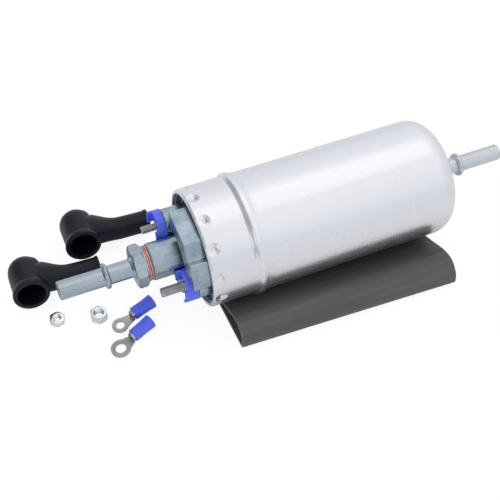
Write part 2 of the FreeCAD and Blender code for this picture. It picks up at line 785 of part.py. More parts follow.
def end_turns(start_x, side):
    """The rounded bundle of end turns that stands out from one face of the core."""
    def place(reach, radius):
        return (start_x + side * reach, radius)
    return lathe([
        place(0.0, WINDING_INNER_R),
        place(0.0, WINDING_R),
        place(WINDING_REACH - 3, WINDING_R),
        (place(WINDING_REACH - 0.9, WINDING_R - 0.9), place(WINDING_REACH, WINDING_R - 3)),
        place(WINDING_REACH, WINDING_INNER_R),
    ])


def armature_windings():
    """Copper in the slots, the two rounded end turns and the tails to the commutator."""
    near = CORE_X - STATIC_GAP
    far = CORE_END_X + STATIC_GAP
    body = end_turns(near, -1).fuse(end_turns(far, 1))
    for k in range(SLOT_COUNT):
        angle = k * 360.0 / SLOT_COUNT
        body = body.fuse(turned(slot_pocket(0.3, near - 0.5, far + 0.5), angle))
        tail_x = COMMUTATOR_END_X + RISER_LENGTH + STATIC_GAP
        tail = cylinder(0.6, tail_x, near - WINDING_REACH + 1, SLOT_INNER_R + 1, 0)
        body = body.fuse(turned(tail, angle))
    return body.removeSplitter()


# Field

def magnet():
    """Upper arc magnet."""
    start_deg = 90 - MAGNET_HALF_DEG
    end_deg = 90 + MAGNET_HALF_DEG
    return sector(MAGNET_OUTER_R, MAGNET_INNER_R, start_deg, end_deg, MAGNET_X, MAGNET_END_X)


def magnet_clip():
    """Spring clip between the magnets' ends on the +Y side."""
    edge = 90 - MAGNET_HALF_DEG - 0.3
    thick_deg = 2.6
    outer_r = MAGNET_OUTER_R - PLATE_GAP
    leg_r = MAGNET_OUTER_R - 5.0
    x0 = MAGNET_X + 3
    x1 = MAGNET_END_X - 3
    back = sector(outer_r, outer_r - 0.9, -edge, edge, x0, x1)
    low = sector(outer_r, leg_r, -edge, -edge + thick_deg, x0, x1)
    high = sector(outer_r, leg_r, edge - thick_deg, edge, x0, x1)
    return back.fuse(low).fuse(high).removeSplitter()


def flux_ring():
    """Steel return ring round the magnets."""
    return tube(CAN_BORE - STATIC_GAP, MAGNET_OUTER_R + STATIC_GAP, HOLDER_END_X, PLATE_X)


# Pump section

def screw_places():
    """Y and Z of the three clamp screws."""
    return [polar(SCREW_CIRCLE, angle) for angle in (90, 210, 330)]


def delivery_plate():
    """Plate between the motor and the gears, with the pressure port and the shaft's second bush."""
    plate = cylinder(COVER_R, PLATE_X, RING_X)
    plate = plate.cut(cylinder(BUSH_R, PLATE_X - 1, BUSH_PUMP_X + BUSH_LENGTH))
    plate = plate.cut(cylinder(SHAFT_R + 0.3, PLATE_X - 1, RING_X + 1))
    plate = plate.cut(sector(PORT_OUTER_R, PORT_INNER_R, 30, 150, PLATE_X - 1, RING_X + 1))
    for y, z in screw_places():
        plate = plate.cut(cylinder(SCREW_R + STATIC_GAP, PLATE_X + 2.5, RING_X + 1, y, z))
    return plate


def pump_ring():
    """Ring whose off-centre bore holds the outer gear."""
    ring = cylinder(COVER_R, RING_X, INTAKE_X)
    ring = ring.cut(cylinder(OUTER_GEAR_R + STATIC_GAP, RING_X - 1, INTAKE_X + 1, OFFSET, 0))
    for y, z in screw_places():
        ring = ring.cut(cylinder(SCREW_R + STATIC_GAP, RING_X - 1, INTAKE_X + 1, y, z))
    return ring


def inner_gear():
    """Inner gear, keyed to the shaft: the lobe path drawn in by the lobe's radius."""
    samples = INNER_TEETH * 20
    points = []
    for k in range(samples):
        s = 2 * math.pi * k / samples
        y = LOBE_CIRCLE * math.cos(s) + OFFSET * math.cos(OUTER_LOBES * s)
        z = LOBE_CIRCLE * math.sin(s) + OFFSET * math.sin(OUTER_LOBES * s)
        dy = -LOBE_CIRCLE * math.sin(s) - OUTER_LOBES * OFFSET * math.sin(OUTER_LOBES * s)
        dz = LOBE_CIRCLE * math.cos(s) + OUTER_LOBES * OFFSET * math.cos(OUTER_LOBES * s)
        size = math.hypot(dy, dz)
        inset = LOBE_R + MESH_GAP
        points.append(V(RING_X + STATIC_GAP, y - inset * dz / size, z + inset * dy / size))
    curve = Part.BSplineCurve()
    curve.interpolate(Points=points, PeriodicFlag=True)
    length = INTAKE_X - RING_X - 2 * STATIC_GAP
    gear = Part.Face(Part.Wire(curve.toShape())).extrude(V(length, 0, 0))
    return gear.cut(cylinder(SHAFT_R, RING_X - 1, INTAKE_X + 1))


def outer_gear():
    """Outer gear with one lobe more than the inner one, on its own offset axis."""
    x0 = RING_X + STATIC_GAP
    x1 = INTAKE_X - STATIC_GAP
    pocket_r = LOBE_CIRCLE + 2 * OFFSET - LOBE_R + MESH_GAP
    hollow = cylinder(pocket_r, x0 - 1, x1 + 1, OFFSET, 0)
    for k in range(OUTER_LOBES):
        y, z = polar(LOBE_CIRCLE, k * 360.0 / OUTER_LOBES)
        hollow = hollow.cut(cylinder(LOBE_R, x0 - 2, x1 + 2, OFFSET + y, z))
    return cylinder(OUTER_GEAR_R, x0, x1, OFFSET, 0).cut(hollow)


def intake_plate():
    """Inlet-side plate with the suction port, relief valve body and the skirt that meets the can's end."""
    plate = lathe([
        (INTAKE_X, 0.0),
        (INTAKE_X, COVER_R),
        (CAN_END_X - CAN_CORNER, COVER_R),
        (SKIRT_END_X, CAN_BORE - 1.3),
        (SKIRT_END_X, STRAINER_R + PLATE_GAP),
        (STRAINER_X - STATIC_GAP, STRAINER_R + PLATE_GAP),
        (STRAINER_X - STATIC_GAP, SKIRT_INNER_R),
        (INTAKE_END_X, SKIRT_INNER_R),
        (INTAKE_END_X, 0.0),
    ])
    bore_x = RELIEF_SEAT_X + RELIEF_BORE_R - RELIEF_HOLE_R
    plate = plate.fuse(cylinder(RELIEF_BODY_R, INTAKE_END_X - 1, RELIEF_END_X, 0, RELIEF_Z))
    plate = plate.cut(sector(PORT_OUTER_R, PORT_INNER_R, 210, 330, INTAKE_X - 1, INTAKE_END_X + 1))
    plate = plate.cut(cylinder(SHAFT_R + STATIC_GAP, INTAKE_X - 1, SHAFT_END_X + 0.6))
    plate = plate.cut(cylinder(RELIEF_HOLE_R, INTAKE_X - 1, RELIEF_END_X + 1, 0, RELIEF_Z))
    seat_place = V(RELIEF_SEAT_X, 0, RELIEF_Z)
    seat_depth = bore_x - RELIEF_SEAT_X
    plate = plate.cut(Part.makeCone(RELIEF_HOLE_R, RELIEF_BORE_R, seat_depth, seat_place, X_AXIS))
    plate = plate.cut(cylinder(RELIEF_BORE_R, bore_x, RELIEF_END_X + 1, 0, RELIEF_Z))
    for y, z in screw_places():
        plate = plate.cut(cylinder(SCREW_R + STATIC_GAP, INTAKE_X - 1, INTAKE_END_X + 1, y, z))
    return plate.removeSplitter()


def pump_screws():
    """Three socket screws that clamp the pump's plates."""
    screws = []
    for y, z in screw_places():
        screw = cylinder(SCREW_R, PLATE_X + 3, INTAKE_END_X + 1, y, z)
        screw = screw.fuse(cylinder(SCREW_HEAD_R, INTAKE_END_X, INTAKE_END_X + SCREW_HEAD_HEIGHT, y, z))
        screws.append(screw.cut(hexagon(2.5, INTAKE_END_X + 1.1, INTAKE_END_X + 3, y, z)))
    return Part.makeCompound(screws)


def ball_x():
    """Centre of the relief ball on its 45 degree seat."""
    diagonal = math.sqrt(2)
    return RELIEF_SEAT_X - RELIEF_HOLE_R + (BALL_R + SEAT_GAP) * diagonal


def relief_ball():
    """Relief valve ball."""
    return Part.makeSphere(BALL_R, V(ball_x(), 0, RELIEF_Z))


def relief_spring():
    """Coil between the relief ball and its plug."""
    wire = 0.22
    mean = 1.8
    start = ball_x() + math.sqrt(BALL_R ** 2 - (mean - wire) ** 2) + wire + 0.1
    end = RELIEF_PLUG_X - wire - 0.1
    return coil(mean, wire, 3, V(start, 0, RELIEF_Z), end - start, X_AXIS)


def relief_plug():
    """Threaded plug that sets the relief spring."""
    return tube(RELIEF_BORE_R - STATIC_GAP, 1.1, RELIEF_PLUG_X, RELIEF_END_X, 0, RELIEF_Z)


def inlet_strainer():
    """Perforated strainer disc on the skirt's ledge."""
    disc = cylinder(STRAINER_R, STRAINER_X, STRAINER_X + STRAINER_THICK)
    for ring_r, count in ((6.5, 6), (12.5, 12), (18.5, 18), (23.3, 24)):
        for k in range(count):
            y, z = polar(ring_r, k * 360.0 / count)
            disc = disc.cut(cylinder(1.6, STRAINER_X - 1, STRAINER_X + 2, y, z))
    return disc


# Loose kit

def sleeve_half(curve_points, line_points):
    """A length of the near half of the sleeve: a smooth curve closed by straight lines."""
    start_x = -SLEEVE_LENGTH
    curve = Part.BSplineCurve()
    curve.interpolate([V(start_x, y, z) for y, z in curve_points])
    path = [curve.toShape()]
    corners = [curve_points[-1]] + line_points + [curve_points[0]]
    for before, after in zip(corners, corners[1:]):
        path.append(Part.LineSegment(V(start_x, *before), V(start_x, *after)).toShape())
    return Part.Face(Part.Wire(path)).extrude(V(2 * SLEEVE_LENGTH, 0, 0))


def isolating_sleeve():
    """Rubber tube pinched flat under the pump, with an open fold along each side and slightly skewed ends."""
    edge = -SLEEVE_HALF_WIDTH
    wall = SLEEVE_WALL
    top = SLEEVE_LOOP_HEIGHT
    outside = [
        (edge + 3.5, 0.0),
        (edge + 0.6, 1.6),
        (edge, 5.0),
        (edge + 1.8, top - 3.8),
        (edge + 7.0, top),
        (edge + 14.5, top - 1.0),
        (edge + 24.0, 8.9),
        (edge + 33.0, 5.1),
        (0.0, 2 * wall),
    ]
    hollow = [
        (edge + 5.5, wall),
        (edge + 3.2, wall + 0.8),
        (edge + wall, wall + 3.3),
        (edge + 3.6, top - 4.8),
        (edge + 7.4, top - wall),
        (edge + 13.6, top - 1.0 - wall),
        (edge + 22.8, 9.1 - wall),
        (edge + 29.5, wall + 0.3),
    ]
    near = sleeve_half(outside, [(0.0, 0.0)])
    near = near.cut(sleeve_half(hollow, [(hollow[-1][0], wall)]))
    far = near.mirror(V(0, 0, 0), Y_AXIS)
    sleeve = near.fuse(far).removeSplitter()
    sleeve.rotate(V(0, 0, 0), Z_AXIS, SLEEVE_TURN_DEG)
    half = SLEEVE_LENGTH / 2
    ends = turned(box(-half, half, -80, 80, -10, 40), SLEEVE_CUT_DEG, Z_AXIS)
    sleeve = sleeve.common(ends)
    sleeve.translate(V(SLEEVE_CENTRE[0], SLEEVE_CENTRE[1], FLOOR_Z))
    press = cylinder(CAN_R + SEAT_GAP, RIM_X - 5, CAN_END_X)
    press = press.fuse(cylinder(BEAD_R + SEAT_GAP, BEAD_X - 3, BEAD_X + 6))
    return sleeve.cut(press)


def boot_revolved(points):
    """A solid of revolution about the boot's head axis, from (distance from the mouth, radius) points."""
    shape = lathe(points)
    shape.rotate(V(0, 0, 0), Z_AXIS, 90)
    return shape


def boot_arm_root():
    """Flare from the head into the arm, straight on the mouth's side."""
    front_y = BOOT_ARM_Y - BOOT_ARM_R
    rings = []
    for share, radius in ((0.0, BOOT_HEAD_R - 0.2), (0.3, 8.0), (0.7, 6.4), (1.0, BOOT_ARM_R)):
        centre = V(share * BOOT_ROOT_END, front_y + radius, -BOOT_ARM_DROP * share)
        rings.append(Part.Wire(Part.makeCircle(radius, centre, X_AXIS)))
    return Part.makeLoft(rings, True)


def terminal_boot(place):
    """Rubber elbow boot lying on the floor, mouth towards -Y and wire arm towards +X."""
    depth = BOOT_DOME_Y
    lean = math.sqrt(0.5)
    head = boot_revolved([
        (0.0, 0.0),
        (0.0, BOOT_HEAD_R - 0.2),
        ((0.25, BOOT_HEAD_R + 0.3), (1.2, BOOT_HEAD_R + 0.5)),
        (2.6, BOOT_HEAD_R + 0.4),
        ((3.6, BOOT_HEAD_R - 0.1), (5.0, BOOT_HEAD_R - 0.2)),
        (depth - 3, BOOT_HEAD_R),
        (depth, BOOT_HEAD_R),
        ((depth + BOOT_HEAD_R * lean, BOOT_HEAD_R * lean), (depth + BOOT_HEAD_R, 0.0)),
    ])
    arm = lathe([
        (BOOT_ROOT_END, 0.0),
        (BOOT_ROOT_END, BOOT_ARM_R),
        (BOOT_ARM_LENGTH - 1.6, BOOT_ARM_R),
        ((BOOT_ARM_LENGTH - 0.8, BOOT_ARM_R + 0.55), (BOOT_ARM_LENGTH, BOOT_ARM_R)),
        (BOOT_ARM_LENGTH, 0.0),
    ])
    arm.translate(V(0, BOOT_ARM_Y, -BOOT_ARM_DROP))
    arm = arm.fuse(boot_arm_root())
    bore = boot_revolved([
        (-1.0, 0.0),
        (-1.0, BOOT_MOUTH_R),
        (depth, BOOT_MOUTH_R),
        ((depth + BOOT_MOUTH_R * lean, BOOT_MOUTH_R * lean), (depth + BOOT_MOUTH_R, 0.0)),
    ])
    wire_way = cylinder(BOOT_ARM_BORE, 0.0, BOOT_ARM_LENGTH + 1, BOOT_ARM_Y, -BOOT_ARM_DROP)
    boot = head.fuse(arm).cut(bore).cut(wire_way).removeSplitter()
    boot.rotate(V(0, 0, 0), X_AXIS, -BOOT_PITCH_DEG)
    boot.rotate(V(0, BOOT_ARM_Y, 0), Z_AXIS, BOOT_TURN_DEG)
    boot.translate(V(place[0], place[1] - BOOT_ARM_Y, 0))
    boot.translate(V(0, 0, FLOOR_Z - lowest(boot)))
    return boot


def nut(stud_r, flats, height, place, turn_deg):
    """Plain hex nut lying flat."""
    corner_r = flats / math.sqrt(3)
    block = hexagon(flats, 0, height)
    chamfers = lathe([
        (0.0, 0.0),
        (0.0, corner_r - 0.6),
        (0.35, corner_r),
        (height - 0.35, corner_r),
        (height, corner_r - 0.6),
        (height, 0.0),
    ])
    shape = block.common(chamfers).cut(cylinder(stud_r, -1, height + 1))
    for x, direction in ((0.0, 1), (height, -1)):
        shape = shape.cut(Part.makeCone(stud_r + 0.35, stud_r, 0.35, V(x, 0, 0), V(direction, 0, 0)))
    shape.rotate(V(0, 0, 0), Y_AXIS, -90)
    shape.rotate(V(0, 0, 0), Z_AXIS, turn_deg)
    shape.translate(V(place[0], place[1], FLOOR_Z))
    return shape


def lay_terminal(shape, place, turn_deg):
    """Puts a ring terminal on the floor, its ring at the place and its barrel's heel as the pivot."""
    shape.rotate(V(BARREL_START, 0, 0), Y_AXIS, -RING_TILT_DEG)
    shape.rotate(V(0, 0, 0), Z_AXIS, turn_deg)
    shape.translate(V(place[0], place[1], FLOOR_Z))
    return shape


def ring_terminal(stud_r, eye_r, place, turn_deg):
    """Tinned ring tongue with its crimp barrel."""
    metal_r = BARREL_R - BARREL_WALL - STATIC_GAP
    low = BARREL_R - metal_r
    neck_x = BARREL_START - 0.5
    neck_half = 2.0
    eye_half = 0.92 * eye_r
    eye = Part.makeCylinder(eye_r, RING_THICK, V(0, 0, low), Z_AXIS)
    neck = [
        V(0, -eye_half, low),
        V(neck_x, -neck_half, low),
        V(neck_x, neck_half, low),
        V(0, eye_half, low),
        V(0, -eye_half, low),
    ]
    tongue = eye.fuse(Part.Face(Part.makePolygon(neck)).extrude(V(0, 0, RING_THICK)))
    barrel_x = BARREL_START - 1.5
    barrel = Part.makeCylinder(metal_r, 9.0, V(barrel_x, 0, BARREL_R), X_AXIS)
    bore = Part.makeCylinder(metal_r - RING_THICK, 12.0, V(barrel_x - 1, 0, BARREL_R), X_AXIS)
    shape = tongue.fuse(barrel).cut(bore)
    shape = shape.cut(Part.makeCylinder(stud_r + 0.2, 10, V(0, 0, -2), Z_AXIS)).removeSplitter()
    return lay_terminal(shape, place, turn_deg)


def ring_barrel(place, turn_deg):
    """Blue insulating sleeve on the terminal's barrel, flared at the wire's end."""
    inner = BARREL_R - BARREL_WALL
    profile = [
        (BARREL_START, inner),
        (BARREL_START, BARREL_R),
        (BARREL_END - 4.5, BARREL_R),
        (BARREL_END, BARREL_R + 0.35),
        (BARREL_END, BARREL_R - 0.5),
        (BARREL_END - 3.5, inner),
    ]
    shape = lathe(profile)
    shape.translate(V(0, 0, BARREL_R))
    return lay_terminal(shape, place, turn_deg)


def build():
    """Every node by name."""
    return {
        "housing_shell": housing_shell(),
        "inlet_tube": inlet_tube(),
        "outlet_cover": outlet_cover(),
        "cover_seal_ring": cover_ring(),
        "crush_washer": crush_washer(),
        "outlet_fitting": outlet_fitting(),
        "insulator_m4": insulator(1, M4_FOOT_X, M4_RIM_X, M4_R),
        "insulator_m5": insulator(-1, M5_FOOT_X, M5_RIM_X, M5_R),
        "terminal_stud_m4": terminal_stud(1, M4_R, M4_TIP_X, M4_RIM_X, M4_FLATS),
        "terminal_stud_m5": terminal_stud(-1, M5_R, M5_TIP_X, M5_RIM_X, M5_FLATS),
        "stud_seals": stud_seals(),
        "check_valve_seat": check_valve_seat(),
        "check_valve_poppet": check_valve_poppet(),
        "check_valve_spring": check_valve_spring(),
        "brush_holder": brush_holder(),
        "brush_m4_side": brush(),
        "brush_m5_side": turned(brush(), 180),
        "brush_spring_m4_side": brush_spring(),
        "brush_spring_m5_side": turned(brush_spring(), 180),
        "brush_caps": Part.makeCompound([brush_cap(), turned(brush_cap(), 180)]),
        "brush_leads": Part.makeCompound([brush_lead(), turned(brush_lead(), 180)]),
        "bush_outlet_end": bush(BUSH_OUTLET_X, BUSH_OUTLET_X + BUSH_OUTLET_LENGTH),
        "bush_pump_end": bush(BUSH_PUMP_X, BUSH_PUMP_X + BUSH_LENGTH),
        "armature_shaft": armature_shaft(),
        "thrust_washer": thrust_washer(),
        "commutator": commutator(),
        "armature_core": armature_core(),
        "armature_windings": armature_windings(),
        "magnet_upper": magnet(),
        "magnet_lower": turned(magnet(), 180),
        "magnet_clips": Part.makeCompound([magnet_clip(), turned(magnet_clip(), 180)]),
        "flux_ring": flux_ring(),
        "delivery_plate": delivery_plate(),
        "pump_ring": pump_ring(),
        "inner_gear": inner_gear(),
        "outer_gear": outer_gear(),
        "intake_plate": intake_plate(),
        "pump_screws": pump_screws(),
        "relief_ball": relief_ball(),
        "relief_spring": relief_spring(),
        "relief_plug": relief_plug(),
        "inlet_strainer": inlet_strainer(),
        "isolating_sleeve": isolating_sleeve(),
        "terminal_boot_m4": terminal_boot(BOOT_M4_PLACE),
        "terminal_boot_m5": terminal_boot(BOOT_M5_PLACE),
        "nut_m4": nut(M4_R, M4_FLATS, NUT_M4_HEIGHT, NUT_M4_PLACE, NUT_M4_TURN_DEG),
        "nut_m5": nut(M5_R, M5_FLATS, NUT_M5_HEIGHT, NUT_M5_PLACE, NUT_M5_TURN_DEG),
        "ring_terminal_m4": ring_terminal(M4_R, RING_M4_EYE_R, RING_M4_PLACE, RING_M4_TURN_DEG),
        "ring_terminal_m5": ring_terminal(M5_R, RING_M5_EYE_R, RING_M5_PLACE, RING_M5_TURN_DEG),
        "ring_barrel_m4": ring_barrel(RING_M4_PLACE, RING_M4_TURN_DEG),
        "ring_barrel_m5": ring_barrel(RING_M5_PLACE, RING_M5_TURN_DEG),
    }


def export(nodes):
    """Writes one STEP file per node and prints its size."""
    os.makedirs("parts", exist_ok=True)
    for name, shape in nodes.items():
        shape.exportStep("parts/" + name + ".step")
        print(name, shape.isValid(), len(shape.Solids), round(shape.Volume, 1))


export(build())
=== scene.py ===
import json
import math

import bmesh
import bpy
from mathutils import Matrix, Vector, noise


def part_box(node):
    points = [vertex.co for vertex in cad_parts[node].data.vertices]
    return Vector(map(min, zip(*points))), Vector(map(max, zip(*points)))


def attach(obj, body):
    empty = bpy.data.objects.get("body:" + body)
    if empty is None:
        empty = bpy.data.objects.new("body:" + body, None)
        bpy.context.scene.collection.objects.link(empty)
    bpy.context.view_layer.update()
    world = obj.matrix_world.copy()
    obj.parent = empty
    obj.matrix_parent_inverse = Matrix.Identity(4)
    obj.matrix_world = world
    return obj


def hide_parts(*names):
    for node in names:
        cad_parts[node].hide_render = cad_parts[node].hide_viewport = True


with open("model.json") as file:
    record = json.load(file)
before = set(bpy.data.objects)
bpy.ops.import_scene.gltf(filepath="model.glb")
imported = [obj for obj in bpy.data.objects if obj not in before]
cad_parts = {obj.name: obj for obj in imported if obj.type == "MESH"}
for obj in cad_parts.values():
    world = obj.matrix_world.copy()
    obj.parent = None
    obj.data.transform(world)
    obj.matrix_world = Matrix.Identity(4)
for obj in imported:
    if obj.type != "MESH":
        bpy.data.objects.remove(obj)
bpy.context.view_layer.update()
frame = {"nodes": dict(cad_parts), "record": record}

# The looks of an in-line fuel pump and its fitting kit, laid out on a white table.
# Shapes are written in millimetres in the part's own frame and scaled when a mesh is made.

MM = 0.001
PUMP = "pump_body"
SLEEVE = "sleeve"

# Camera and studio
CAMERA_PLACE = Vector((-175.37, -309.23, 407.39)) * MM
CAMERA_TARGET = Vector((-47.94, 0.0, -15.79)) * MM
CAMERA_LENS = 76.54
FLOOR_SIZE = 6.0
AMBIENT = 0.85
SHADOW_SHARE = 0.16
TABLE_GLOW = 1.07
TABLE_DROP = 0.02
LOW_SKY = (0.84, 0.86, 0.91)
HIGH_SKY = (1.0, 1.0, 1.0)
SKY_HEIGHTS = (0.22, 0.72)
OUTLET_SIDE = 0.45
OUTLET_SIDE_REACH = (-0.35, 0.15)

# Meshes
CREASE_DEG = 38.0
WELD = 0.002
BEVEL_DEG = 35

# Can
CAN_R = 30.0
CAN_WALL = 1.5
CAN_CORNER = 11.0
LIP_R = 27.9
LIP_LENGTH = 1.3
BEAD_X = -53.6
STAKE_COUNT = 13
STAKE_START_DEG = 78.5
STAKE_INSET = 3.9
STAKE_REACH = 2.7
STAKE_DEPTH = 0.55
STAKE_LIP_RISE = 0.10
STAKE_LIP_OUT = 0.7
STAKE_LIP_WIDTH = 0.6
STAKE_ZONE = 10.0
PIT_SHIFT = 0.5
PIT_R = 1.05
PIT_DEPTH = 0.8
SKIN_DEPTH = 0.4
FINE_ZONE = 8.5
FINE_STEP = 0.3
COARSE_STEP = 3.0
RIM_EDGE = 0.7
EDGE_R = 0.45
CAN_SIDES = 720
INLET_HOLE_R = 4.2

# Terminals
TERMINAL_R = 16.7
TERMINAL_DEG = 18.3
CUP_FLOOR_M4 = -90.4
CUP_FLOOR_M5 = -87.4
SHOULDER_STEP = 0.3
STUD_HEAD_LENGTH = 2.75
STUD_SIDES = 72
POINT_LENGTH = 0.55
POINT_DEPTH = 0.6

# Threads: stud radius, pitch and the width of the hexagon that goes with it
M4 = (2.0, 0.7, 7.0)
M5 = (2.5, 0.8, 8.0)
THREAD_DEPTH = 0.32
ROWS_PER_TURN = 10

# Loose nuts
NUT_M4_PLACE = (-149.2, 7.9)
NUT_M4_TURN_DEG = 12.0
NUT_M5_PLACE = (-129.0, 2.3)
NUT_M5_TURN_DEG = 20.0
NUT_SIDES = 144
NUT_CONE = 0.55
NUT_FACE_INSET = 0.1
NUT_CORNER_DROP = 0.02
NUT_LEAD = 0.35
THREAD_IN_LEAD = 0.2

# Sleeve
SLEEVE_WALL = 2.0
SLEEVE_LENGTH = 115.4
SLEEVE_HALF_WIDTH = 43.5
SLEEVE_LOOP_HEIGHT = 14.2
SLEEVE_TURN_DEG = -2.2
SLEEVE_CUT_DEG = 1.5
SLEEVE_CENTRE = (-12.8, -2.5)
SLEEVE_INNER_GAP = 0.04
SLEEVE_ROWS = 116
SLEEVE_WAVE = 0.02
SEAT_GAP = 0.03
PRESSED_WALL = 0.6
FLOOR_Z = -34.0

# Pieces with machined or stamped edges: node, body, slot, finish, bevel
BEVELLED = [
    ("outlet_fitting", PUMP, "tube_plating", "tube_plating", 0.3),
    ("inlet_tube", PUMP, "tube_plating", "inlet_plating", 0.2),
    ("crush_washer", PUMP, "copper", "copper", 0.12),
    ("ring_terminal_m4", "ring_m4", "tin_plating", "tin_plating", 0.12),
    ("ring_terminal_m5", "ring_m5", "tin_plating", "tin_plating", 0.12),
]

# Pieces whose edges casting or moulding has softened: node, body, slot, step, passes
SOFTENED = [
    ("outlet_cover", PUMP, "zinc_cover", 0.32, 5),
    ("insulator_m4", PUMP, "blue_plastic", 0.2, 6),
    ("insulator_m5", PUMP, "blue_plastic", 0.2, 6),
    ("ring_barrel_m4", "ring_m4", "blue_plastic", 0.15, 6),
    ("ring_barrel_m5", "ring_m5", "blue_plastic", 0.15, 6),
]

# Boots
BOOT_M4_PLACE = (-124.0, 48.9)
BOOT_M5_PLACE = (-157.1, 28.6)
BOOT_TURN_DEG = -2.0
BOOT_PITCH_DEG = 8.6
BOOT_ARM_Y = 9.2
BOOT_VOXEL = 0.45
BOOT_PASSES = 10
BOOT_FILLET = 3.8
FILLET_START = 4.5
FILLET_RAMP = 4.0
FILLET_REACH = 9.0
MOULD_LINE_RISE = 0.07
MOULD_LINE_WIDTH = 0.22
BOOT_WANDER = 0.10


# Meshes

def link_mesh(name, points, faces):
    """A smooth object from points in millimetres, with its creases kept sharp."""
    mesh = bpy.data.meshes.new(name)
    mesh.from_pydata([Vector(p) * MM for p in points], [], faces)
    tidy = bmesh.new()
    tidy.from_mesh(mesh)
    bmesh.ops.recalc_face_normals(tidy, faces=tidy.faces)
    for face in tidy.faces:
        face.smooth = True
    limit = math.radians(CREASE_DEG)
    for edge in tidy.edges:
        edge.smooth = edge.calc_face_angle(0.0) < limit
    tidy.to_mesh(mesh)
    tidy.free()
    obj = bpy.data.objects.new(name, mesh)
    bpy.context.scene.collection.objects.link(obj)
    return obj


def skinned(name, rings, closed_run=False, capped=False):
    """Quads between rings of as many points each, with flat caps on an open run."""
    count = len(rings[0])
    points = [p for ring in rings for p in ring]
    faces = []
    runs = len(rings) if closed_run else len(rings) - 1
    for i in range(runs):
        a = i * count
        b = ((i + 1) % len(rings)) * count
        for j in range(count):
            k = (j + 1) % count
            faces.append((a + j, a + k, b + k, b + j))
    if capped:
        faces.append(tuple(range(count)))
        last = (len(rings) - 1) * count
        faces.append(tuple(range(last, last + count)))
    return link_mesh(name, points, faces)


def rounded(points, size, steps):
    """A closed (x, radius) outline with its corners turned into small curves."""
    corners = [Vector(p) for p in points]
    smooth = []
    for k, here in enumerate(corners):
        before = corners[k - 1] - here
        after = corners[(k + 1) % len(corners)] - here
        reach = min(size, 0.45 * before.length, 0.45 * after.length)
        start = here + before.normalized() * reach
        end = here + after.normalized() * reach
        for s in range(steps + 1):
            t = s / steps
            smooth.append(start * (1 - t) ** 2 + here * (2 * t * (1 - t)) + end * t ** 2)
    return smooth


def stepped(outline, longest):
    """The outline with its long runs cut into steps no longer than longest(x, radius)."""
    cut = []
    for k, here in enumerate(outline):
        there = outline[(k + 1) % len(outline)]
        limit = longest(here.x, here.y)
        steps = max(1, math.ceil((there - here).length / limit))
        for s in range(steps):
            cut.append(here.lerp(there, s / steps))
    return cut


def turn_point(x, radius, turn, centre=(0.0, 0.0)):
    """A point at an angle about X, from +Y towards +Z."""
    return (x, centre[0] + radius * math.cos(turn), centre[1] + radius * math.sin(turn))


def turned_ring(x, radius_at, count, centre=(0.0, 0.0)):
    """One ring about X with the radius radius_at(turn)."""
    turns = [2 * math.pi * k / count for k in range(count)]
    return [turn_point(x, radius_at(turn), turn, centre) for turn in turns]


def lathed(name, outline, count, offset):
    """A closed outline turned about X; offset(x, radius, turn) moves a point outwards."""
    rings = []
    for x, radius in outline:
        rings.append(turned_ring(x, lambda turn: radius + offset(x, radius, turn), count))
    return skinned(name, rings, closed_run=True)


def node_copy(name, node):
    """A separate copy of a node's mesh with its seams welded and its faces smooth."""
    obj = bpy.data.objects.new(name, frame["nodes"][node].data.copy())
    bpy.context.scene.collection.objects.link(obj)
    for layer in ("custom_normal", "sharp_edge", "sharp_face"):
        if layer in obj.data.attributes:
            obj.data.attributes.remove(obj.data.attributes[layer])
    for face in obj.data.polygons:
        face.use_smooth = True
    weld = obj.modifiers.new("weld", "WELD")
    weld.merge_threshold = WELD * MM
    return obj


def bevelled_copy(name, node, width):
    """A copy of a node's solid with its edges broken, as machining and stamping leave them."""
    obj = node_copy(name, node)
    bevel = obj.modifiers.new("bevel", "BEVEL")
    bevel.width = width * MM
    bevel.segments = 2
    bevel.limit_method = "ANGLE"
    bevel.angle_limit = math.radians(BEVEL_DEG)
    even = obj.modifiers.new("even", "WEIGHTED_NORMAL")
    even.keep_sharp = True
    applied(obj)
    return obj


def remeshed_copy(name, node, voxel, passes):
    """A copy of a node's solid with every edge softened, as moulding and casting leave it."""
    obj = node_copy(name, node)
    remesh = obj.modifiers.new("remesh", "REMESH")
    remesh.mode = "VOXEL"
    remesh.voxel_size = voxel * MM
    smooth = obj.modifiers.new("smooth", "SMOOTH")
    smooth.factor = 0.5
    smooth.iterations = passes
    applied(obj)
    for face in obj.data.polygons:
        face.use_smooth = True
    return obj


def applied(obj):
    """Turns an object's modifiers into its mesh."""
    graph = bpy.context.evaluated_depsgraph_get()
    mesh = bpy.data.meshes.new_from_object(obj.evaluated_get(graph))
    obj.modifiers.clear()
    obj.data = mesh


def dressed(obj, body, material, slot, *nodes):
    """Gives a piece its material and its body, and hides the nodes that it stands for; the slot is not
    used.
    """
    obj.data.materials.clear()
    obj.data.materials.append(material)
    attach(obj, body)
    if nodes:
        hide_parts(*nodes)
    return obj


# Materials

def link(material, source, target):
    """Links two sockets of a material."""
    material.node_tree.links.new(source, target)


def piece_coordinates(material, stretch):
    """The piece's own place in millimetres, stretched along some axes."""
    nodes = material.node_tree.nodes
    place = nodes.new("ShaderNodeTexCoord")
    mapping = nodes.new("ShaderNodeMapping")
    mapping.inputs["Scale"].default_value = [s / MM for s in stretch]
    link(material, place.outputs["Object"], mapping.inputs["Vector"])
    return mapping.outputs["Vector"]


def noise_value(material, vector, size, detail=3.0):
    """Noise with features of about that size in millimetres."""
    texture = material.node_tree.nodes.new("ShaderNodeTexNoise")
    texture.inputs["Scale"].default_value = 1.0 / size
    texture.inputs["Detail"].default_value = detail
    link(material, vector, texture.inputs["Vector"])
    return texture.outputs["Fac"]


